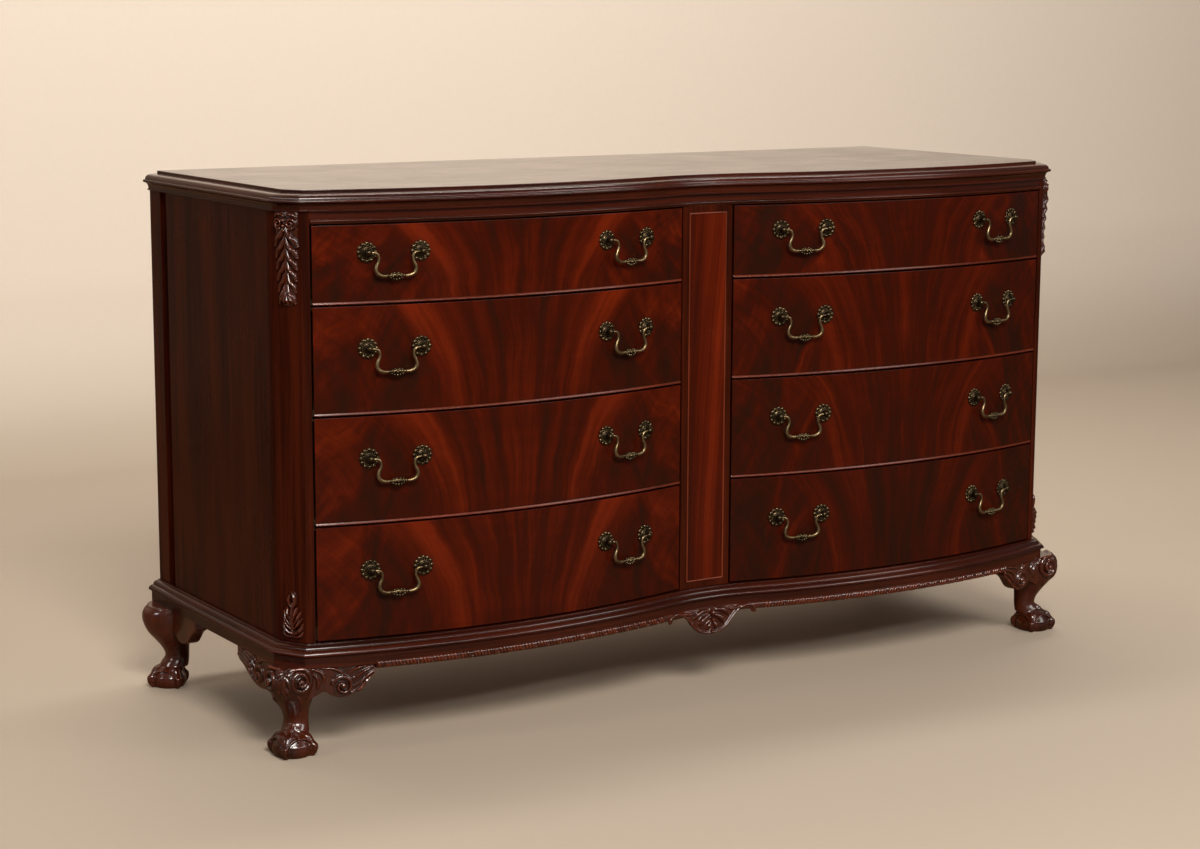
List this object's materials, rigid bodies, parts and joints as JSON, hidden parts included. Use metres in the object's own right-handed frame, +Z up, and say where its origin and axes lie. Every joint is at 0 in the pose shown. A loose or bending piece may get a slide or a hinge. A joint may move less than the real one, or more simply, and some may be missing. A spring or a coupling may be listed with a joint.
{
  "type": "double dresser",
  "caption": "Carved mahogany double dresser with bowed drawer banks, canted corners, moulded serpentine top, gadroon base, claw-and-ball cabriole legs and swinging brass bail pulls.",
  "frame": {"origin": "centre of the box over the whole piece, on the floor", "axes": "+X to the viewer's right along the length, -Y out of the drawer fronts, +Z up"},
  "size_m": [1.6748, 0.619, 0.898],
  "materials": {
    "mahogany": "polished dark mahogany",
    "carved_mahogany": "polished carved mahogany with dark recesses",
    "flame_veneer": "polished flame-figured veneer",
    "inner_wood": "plain secondary wood, thinly finished",
    "antique_brass": "darkened cast brass, rubbed bright on the high spots"
  },
  "bodies": {
    "case": {"top_panel": "mahogany", "cornice_frame": "mahogany", "left_side_panel": "mahogany", "right_side_panel": "mahogany", "left_corner_post": "mahogany", "right_corner_post": "mahogany", "center_stile": "mahogany", "center_partition": "inner_wood", "back_panel": "inner_wood", "base_moulding": "mahogany", "gadroon_apron": "carved_mahogany", "front_left_leg": "carved_mahogany", "front_right_leg": "carved_mahogany", "rear_left_leg": "carved_mahogany", "rear_right_leg": "carved_mahogany", "carved_ornaments": "carved_mahogany", "bottom_drawer_frame": "inner_wood", "lower_drawer_frame": "inner_wood", "upper_drawer_frame": "inner_wood", "top_drawer_frame": "inner_wood"},
    "left_bottom_drawer": {"left_bottom_drawer_front": "flame_veneer", "left_bottom_drawer_box": "inner_wood", "left_bottom_drawer_pulls": "antique_brass"},
    "left_bottom_inner_bail": {"left_bottom_inner_bail": "antique_brass"},
    "left_bottom_outer_bail": {"left_bottom_outer_bail": "antique_brass"},
    "left_lower_drawer": {"left_lower_drawer_front": "flame_veneer", "left_lower_drawer_box": "inner_wood", "left_lower_drawer_pulls": "antique_brass"},
    "left_lower_inner_bail": {"left_lower_inner_bail": "antique_brass"},
    "left_lower_outer_bail": {"left_lower_outer_bail": "antique_brass"},
    "left_upper_drawer": {"left_upper_drawer_front": "flame_veneer", "left_upper_drawer_box": "inner_wood", "left_upper_drawer_pulls": "antique_brass"},
    "left_upper_inner_bail": {"left_upper_inner_bail": "antique_brass"},
    "left_upper_outer_bail": {"left_upper_outer_bail": "antique_brass"},
    "left_top_drawer": {"left_top_drawer_front": "flame_veneer", "left_top_drawer_box": "inner_wood", "left_top_drawer_pulls": "antique_brass"},
    "left_top_inner_bail": {"left_top_inner_bail": "antique_brass"},
    "left_top_outer_bail": {"left_top_outer_bail": "antique_brass"},
    "right_bottom_drawer": {"right_bottom_drawer_front": "flame_veneer", "right_bottom_drawer_box": "inner_wood", "right_bottom_drawer_pulls": "antique_brass"},
    "right_bottom_inner_bail": {"right_bottom_inner_bail": "antique_brass"},
    "right_bottom_outer_bail": {"right_bottom_outer_bail": "antique_brass"},
    "right_lower_drawer": {"right_lower_drawer_front": "flame_veneer", "right_lower_drawer_box": "inner_wood", "right_lower_drawer_pulls": "antique_brass"},
    "right_lower_inner_bail": {"right_lower_inner_bail": "antique_brass"},
    "right_lower_outer_bail": {"right_lower_outer_bail": "antique_brass"},
    "right_upper_drawer": {"right_upper_drawer_front": "flame_veneer", "right_upper_drawer_box": "inner_wood", "right_upper_drawer_pulls": "antique_brass"},
    "right_upper_inner_bail": {"right_upper_inner_bail": "antique_brass"},
    "right_upper_outer_bail": {"right_upper_outer_bail": "antique_brass"},
    "right_top_drawer": {"right_top_drawer_front": "flame_veneer", "right_top_drawer_box": "inner_wood", "right_top_drawer_pulls": "antique_brass"},
    "right_top_inner_bail": {"right_top_inner_bail": "antique_brass"},
    "right_top_outer_bail": {"right_top_outer_bail": "antique_brass"}
  },
  "joints": [
    {"name": "left_bottom_drawer_slide", "type": "slide", "parent": "case", "child": "left_bottom_drawer", "axis": [0, -1, 0], "range_m": [0, 0.34]},
    {"name": "left_bottom_inner_bail_swing", "type": "hinge", "parent": "left_bottom_drawer", "child": "left_bottom_inner_bail", "pos_m": [-0.18043, -0.28098, 0.2945], "axis": [-0.9868, -0.1619, 0], "range_deg": [0, 95]},
    {"name": "left_bottom_outer_bail_swing", "type": "hinge", "parent": "left_bottom_drawer", "child": "left_bottom_outer_bail", "pos_m": [-0.61707, -0.28098, 0.2945], "axis": [-0.9868, 0.1619, 0], "range_deg": [0, 95]},
    {"name": "left_lower_drawer_slide", "type": "slide", "parent": "case", "child": "left_lower_drawer", "axis": [0, -1, 0], "range_m": [0, 0.34]},
    {"name": "left_lower_inner_bail_swing", "type": "hinge", "parent": "left_lower_drawer", "child": "left_lower_inner_bail", "pos_m": [-0.18043, -0.28098, 0.4745], "axis": [-0.9868, -0.1619, 0], "range_deg": [0, 95]},
    {"name": "left_lower_outer_bail_swing", "type": "hinge", "parent": "left_lower_drawer", "child": "left_lower_outer_bail", "pos_m": [-0.61707, -0.28098, 0.4745], "axis": [-0.9868, 0.1619, 0], "range_deg": [0, 95]},
    {"name": "left_upper_drawer_slide", "type": "slide", "parent": "case", "child": "left_upper_drawer", "axis": [0, -1, 0], "range_m": [0, 0.34]},
    {"name": "left_upper_inner_bail_swing", "type": "hinge", "parent": "left_upper_drawer", "child": "left_upper_inner_bail", "pos_m": [-0.18043, -0.28098, 0.6495], "axis": [-0.9868, -0.1619, 0], "range_deg": [0, 95]},
    {"name": "left_upper_outer_bail_swing", "type": "hinge", "parent": "left_upper_drawer", "child": "left_upper_outer_bail", "pos_m": [-0.61707, -0.28098, 0.6495], "axis": [-0.9868, 0.1619, 0], "range_deg": [0, 95]},
    {"name": "left_top_drawer_slide", "type": "slide", "parent": "case", "child": "left_top_drawer", "axis": [0, -1, 0], "range_m": [0, 0.34]},
    {"name": "left_top_inner_bail_swing", "type": "hinge", "parent": "left_top_drawer", "child": "left_top_inner_bail", "pos_m": [-0.18043, -0.28098, 0.8005], "axis": [-0.9868, -0.1619, 0], "range_deg": [0, 95]},
    {"name": "left_top_outer_bail_swing", "type": "hinge", "parent": "left_top_drawer", "child": "left_top_outer_bail", "pos_m": [-0.61707, -0.28098, 0.8005], "axis": [-0.9868, 0.1619, 0], "range_deg": [0, 95]},
    {"name": "right_bottom_drawer_slide", "type": "slide", "parent": "case", "child": "right_bottom_drawer", "axis": [0, -1, 0], "range_m": [0, 0.34]},
    {"name": "right_bottom_inner_bail_swing", "type": "hinge", "parent": "right_bottom_drawer", "child": "right_bottom_inner_bail", "pos_m": [0.18043, -0.28098, 0.2945], "axis": [-0.9868, 0.1619, 0], "range_deg": [0, 95]},
    {"name": "right_bottom_outer_bail_swing", "type": "hinge", "parent": "right_bottom_drawer", "child": "right_bottom_outer_bail", "pos_m": [0.61707, -0.28098, 0.2945], "axis": [-0.9868, -0.1619, 0], "range_deg": [0, 95]},
    {"name": "right_lower_drawer_slide", "type": "slide", "parent": "case", "child": "right_lower_drawer", "axis": [0, -1, 0], "range_m": [0, 0.34]},
    {"name": "right_lower_inner_bail_swing", "type": "hinge", "parent": "right_lower_drawer", "child": "right_lower_inner_bail", "pos_m": [0.18043, -0.28098, 0.4745], "axis": [-0.9868, 0.1619, 0], "range_deg": [0, 95]},
    {"name": "right_lower_outer_bail_swing", "type": "hinge", "parent": "right_lower_drawer", "child": "right_lower_outer_bail", "pos_m": [0.61707, -0.28098, 0.4745], "axis": [-0.9868, -0.1619, 0], "range_deg": [0, 95]},
    {"name": "right_upper_drawer_slide", "type": "slide", "parent": "case", "child": "right_upper_drawer", "axis": [0, -1, 0], "range_m": [0, 0.34]},
    {"name": "right_upper_inner_bail_swing", "type": "hinge", "parent": "right_upper_drawer", "child": "right_upper_inner_bail", "pos_m": [0.18043, -0.28098, 0.6495], "axis": [-0.9868, 0.1619, 0], "range_deg": [0, 95]},
    {"name": "right_upper_outer_bail_swing", "type": "hinge", "parent": "right_upper_drawer", "child": "right_upper_outer_bail", "pos_m": [0.61707, -0.28098, 0.6495], "axis": [-0.9868, -0.1619, 0], "range_deg": [0, 95]},
    {"name": "right_top_drawer_slide", "type": "slide", "parent": "case", "child": "right_top_drawer", "axis": [0, -1, 0], "range_m": [0, 0.34]},
    {"name": "right_top_inner_bail_swing", "type": "hinge", "parent": "right_top_drawer", "child": "right_top_inner_bail", "pos_m": [0.18043, -0.28098, 0.8005], "axis": [-0.9868, 0.1619, 0], "range_deg": [0, 95]},
    {"name": "right_top_outer_bail_swing", "type": "hinge", "parent": "right_top_drawer", "child": "right_top_outer_bail", "pos_m": [0.61707, -0.28098, 0.8005], "axis": [-0.9868, -0.1619, 0], "range_deg": [0, 95]}
  ]
}
